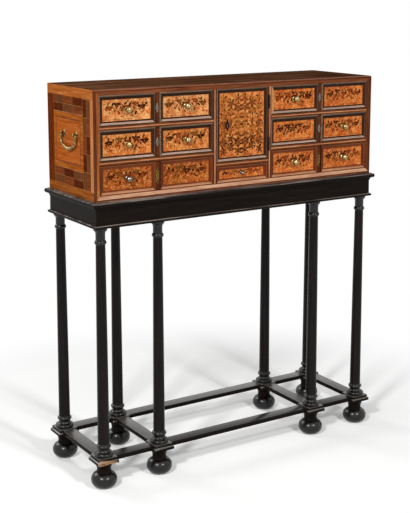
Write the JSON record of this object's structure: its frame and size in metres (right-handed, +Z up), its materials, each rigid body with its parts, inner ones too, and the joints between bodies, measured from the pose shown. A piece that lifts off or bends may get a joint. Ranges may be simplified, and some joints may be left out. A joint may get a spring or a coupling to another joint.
{
  "type": "cabinet on stand",
  "caption": "Table cabinet with marquetry drawers and a small central door, on a tall ebonised stand of turned columns with bun feet and flat stretchers.",
  "frame": {"origin": "on the floor under the middle of the stand, at the bottom centre of the bounding box", "axes": "+Z up, +X to the right of someone facing the drawers, +Y to the back"},
  "size_m": [1.1358, 0.3766, 1.288],
  "materials": {
    "walnut": "wax-polished walnut veneer",
    "marquetry": "polished burr and fruitwood marquetry",
    "ebonised_moulding": "ebonised moulding with worn edges",
    "drawer_lining": "bare planed softwood",
    "ebonised_wood": "black stained and french-polished",
    "brass": "aged polished brass",
    "iron": "forged and filed iron"
  },
  "bodies": {
    "cabinet": {"case_top": "walnut", "case_bottom": "walnut", "case_left_side": "walnut", "case_right_side": "walnut", "case_back": "drawer_lining", "partition_left": "walnut", "partition_right": "walnut", "dust_boards_left": "walnut", "dust_boards_right": "walnut", "door_rail": "walnut", "front_edge_moulding": "walnut", "case_hinge_leaves": "iron", "left_handle_posts": "brass", "right_handle_posts": "brass", "stand_top": "ebonised_wood", "stand_mouldings": "ebonised_wood", "frieze_front": "ebonised_wood", "frieze_back": "ebonised_wood", "frieze_left": "ebonised_wood", "frieze_right": "ebonised_wood", "column_front_1": "ebonised_wood", "column_front_2": "ebonised_wood", "column_front_3": "ebonised_wood", "column_front_4": "ebonised_wood", "column_back_1": "ebonised_wood", "column_back_2": "ebonised_wood", "column_back_3": "ebonised_wood", "column_back_4": "ebonised_wood", "plinth_blocks": "ebonised_wood", "bun_feet": "ebonised_wood", "stretcher_front": "ebonised_wood", "stretcher_back": "ebonised_wood", "cross_stretchers": "ebonised_wood"},
    "left_bottom_drawer": {"left_bottom_drawer_front": "marquetry", "left_bottom_drawer_box": "drawer_lining", "left_bottom_drawer_fittings": "brass"},
    "left_middle_drawer": {"left_middle_drawer_front": "marquetry", "left_middle_drawer_box": "drawer_lining", "left_middle_drawer_fittings": "brass"},
    "left_top_drawer": {"left_top_drawer_front": "marquetry", "left_top_drawer_box": "drawer_lining", "left_top_drawer_fittings": "brass"},
    "right_bottom_drawer": {"right_bottom_drawer_front": "marquetry", "right_bottom_drawer_box": "drawer_lining", "right_bottom_drawer_fittings": "brass"},
    "right_middle_drawer": {"right_middle_drawer_front": "marquetry", "right_middle_drawer_box": "drawer_lining", "right_middle_drawer_fittings": "brass"},
    "right_top_drawer": {"right_top_drawer_front": "marquetry", "right_top_drawer_box": "drawer_lining", "right_top_drawer_fittings": "brass"},
    "small_drawer": {"small_drawer_front": "marquetry", "small_drawer_box": "drawer_lining", "small_drawer_fittings": "iron"},
    "door": {"door_panel": "marquetry", "door_moulding": "ebonised_moulding", "door_lock": "iron", "door_hinge_leaves": "iron"},
    "left_handle": {"left_bail": "brass"},
    "right_handle": {"right_bail": "brass"}
  },
  "joints": [
    {"name": "left_bottom_drawer_slide", "type": "slide", "parent": "cabinet", "child": "left_bottom_drawer", "axis": [0, -1, 0], "range_m": [0, 0.24]},
    {"name": "left_middle_drawer_slide", "type": "slide", "parent": "cabinet", "child": "left_middle_drawer", "axis": [0, -1, 0], "range_m": [0, 0.24]},
    {"name": "left_top_drawer_slide", "type": "slide", "parent": "cabinet", "child": "left_top_drawer", "axis": [0, -1, 0], "range_m": [0, 0.24]},
    {"name": "right_bottom_drawer_slide", "type": "slide", "parent": "cabinet", "child": "right_bottom_drawer", "axis": [0, -1, 0], "range_m": [0, 0.24]},
    {"name": "right_middle_drawer_slide", "type": "slide", "parent": "cabinet", "child": "right_middle_drawer", "axis": [0, -1, 0], "range_m": [0, 0.24]},
    {"name": "right_top_drawer_slide", "type": "slide", "parent": "cabinet", "child": "right_top_drawer", "axis": [0, -1, 0], "range_m": [0, 0.24]},
    {"name": "small_drawer_slide", "type": "slide", "parent": "cabinet", "child": "small_drawer", "axis": [0, -1, 0], "range_m": [0, 0.24]},
    {"name": "door_hinge", "type": "hinge", "parent": "cabinet", "child": "door", "pos_m": [0.104, -0.167, 1.1495], "axis": [0, 0, 1], "range_deg": [0, 90]},
    {"name": "left_handle_swing", "type": "hinge", "parent": "cabinet", "child": "left_handle", "pos_m": [-0.559, 0, 1.138], "axis": [0, 1, 0], "range_deg": [0, 165]},
    {"name": "right_handle_swing", "type": "hinge", "parent": "cabinet", "child": "right_handle", "pos_m": [0.559, 0, 1.138], "axis": [0, -1, 0], "range_deg": [0, 165]}
  ]
}
